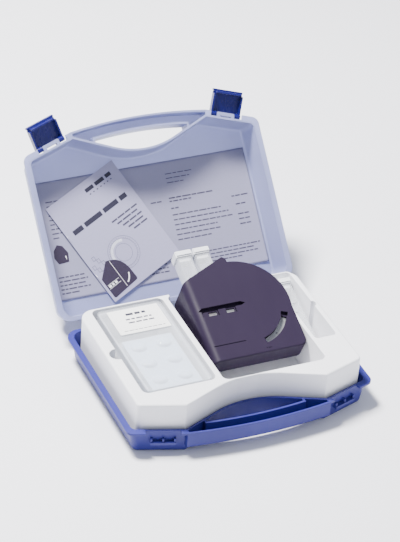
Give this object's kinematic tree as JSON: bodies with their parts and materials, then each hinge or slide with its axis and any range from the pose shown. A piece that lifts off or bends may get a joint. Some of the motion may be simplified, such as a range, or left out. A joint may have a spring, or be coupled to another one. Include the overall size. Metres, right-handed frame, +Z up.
{
  "type": "water test kit",
  "caption": "Open carrying case with a white insert holding a tilted colour comparator, clear sample cells, a clear tablet box and printed instructions in the lid.",
  "frame": {"origin": "bottom centre of the whole kit with the lid open, on the surface it stands on", "axes": "+X across the case to its right, -Y towards the carrying handle, +Z up"},
  "size_m": [0.275, 0.372, 0.1939],
  "materials": {
    "blue_shell": "moulded polypropylene, fine texture",
    "white_insert": "smooth moulded white",
    "frosted_lid": "frosted translucent polypropylene",
    "navy_latch": "satin moulded",
    "steel_pin": "drawn wire",
    "steel_screw": "zinc plated",
    "leaflet_paper": "uncoated sheet",
    "booklet_paper": "coated cover",
    "comparator_plastic": "spark textured",
    "disc_plastic": "clear disc",
    "tinted_fields": "tinted colour standards",
    "hub_plastic": "moulded",
    "window_clear": "clear",
    "opal_plastic": "opal diffuser",
    "cell_clear": "clear moulded cell",
    "cap_plastic": "translucent snap cap",
    "box_clear": "clear polystyrene",
    "card_paper": "printed card",
    "blister_foil": "clear blister on white foil",
    "tablet_white": "pressed powder"
  },
  "bodies": {
    "case": {"lower_shell": "blue_shell", "hinge_pins": "steel_pin", "insert_tray": "white_insert"},
    "lid": {"lid_shell": "frosted_lid", "leaflet": "leaflet_paper"},
    "latch_l": {"latch_left": "navy_latch", "latch_pin_left": "steel_pin"},
    "latch_r": {"latch_right": "navy_latch", "latch_pin_right": "steel_pin"},
    "booklet": {"booklet": "booklet_paper"},
    "comparator": {"comparator_front_shell": "comparator_plastic", "comparator_back_shell": "comparator_plastic", "comparator_screws": "steel_screw", "disc_axle": "steel_pin", "view_lens": "window_clear", "scale_lens": "window_clear", "diffuser_plate": "opal_plastic"},
    "disc": {"colour_disc": "disc_plastic", "colour_fields": "tinted_fields", "disc_hub": "hub_plastic"},
    "cell_l": {"cell_left": "cell_clear"},
    "cell_r": {"cell_right": "cell_clear"},
    "cap_l": {"cell_left_cap": "cap_plastic"},
    "cap_r": {"cell_right_cap": "cap_plastic"},
    "cell_s": {"spare_cell": "cell_clear", "spare_cell_cap": "cap_plastic"},
    "tablet_box": {"tablet_box_base": "box_clear", "blister_strips": "blister_foil", "tablets": "tablet_white"},
    "tablet_lid": {"tablet_box_lid": "box_clear", "tablet_box_card": "card_paper"}
  },
  "joints": [
    {"name": "lid_hinge", "type": "hinge", "parent": "case", "child": "lid", "pos_m": [0, 0.02591, 0.02815], "axis": [1, 0, 0], "range_deg": [0, 133.3]},
    {"name": "latch_left_hinge", "type": "hinge", "parent": "lid", "child": "latch_l", "pos_m": [-0.10264, 0.16588, 0.16728], "axis": [0.9527, 0.2084, 0.2212], "range_deg": [-20, 70]},
    {"name": "latch_right_hinge", "type": "hinge", "parent": "lid", "child": "latch_r", "pos_m": [0.10264, 0.16588, 0.16728], "axis": [0.9527, -0.2084, -0.2212], "range_deg": [-20, 70]},
    {"name": "booklet_lift", "type": "slide", "parent": "lid", "child": "booklet", "axis": [0, 0.7278, -0.6858], "range_m": [-0.018, 0]},
    {"name": "comparator_seat", "type": "hinge", "parent": "case", "child": "comparator", "pos_m": [0, -0.10984, 0.14147], "axis": [-1, 0, 0], "range_deg": [0, 23.6]},
    {"name": "disc_spin", "type": "hinge", "parent": "comparator", "child": "disc", "pos_m": [0.0335, -0.04523, 0.06017], "axis": [0, -0.4003, 0.9164], "continuous": true},
    {"name": "cell_left_lift", "type": "slide", "parent": "comparator", "child": "cell_l", "axis": [0, -0.9164, -0.4003], "range_m": [-0.09, 0]},
    {"name": "cell_right_lift", "type": "slide", "parent": "comparator", "child": "cell_r", "axis": [0, -0.9164, -0.4003], "range_m": [-0.09, 0]},
    {"name": "cell_left_cap_lift", "type": "slide", "parent": "cell_l", "child": "cap_l", "axis": [0, -0.9164, -0.4003], "range_m": [-0.012, 0]},
    {"name": "cell_right_cap_lift", "type": "slide", "parent": "cell_r", "child": "cap_r", "axis": [0, -0.9164, -0.4003], "range_m": [-0.012, 0]},
    {"name": "spare_cell_lift", "type": "slide", "parent": "case", "child": "cell_s", "axis": [0, 0, -1], "range_m": [-0.06, 0]},
    {"name": "tablet_box_lift", "type": "slide", "parent": "case", "child": "tablet_box", "axis": [0, 0, -1], "range_m": [-0.05, 0]},
    {"name": "tablet_lid_lift", "type": "slide", "parent": "tablet_box", "child": "tablet_lid", "axis": [0, 0, -1], "range_m": [-0.03, 0]}
  ],
  "couplings": [
    {"joint": "comparator_seat", "follows": "lid_hinge", "ratio": 0.17704}
  ]
}
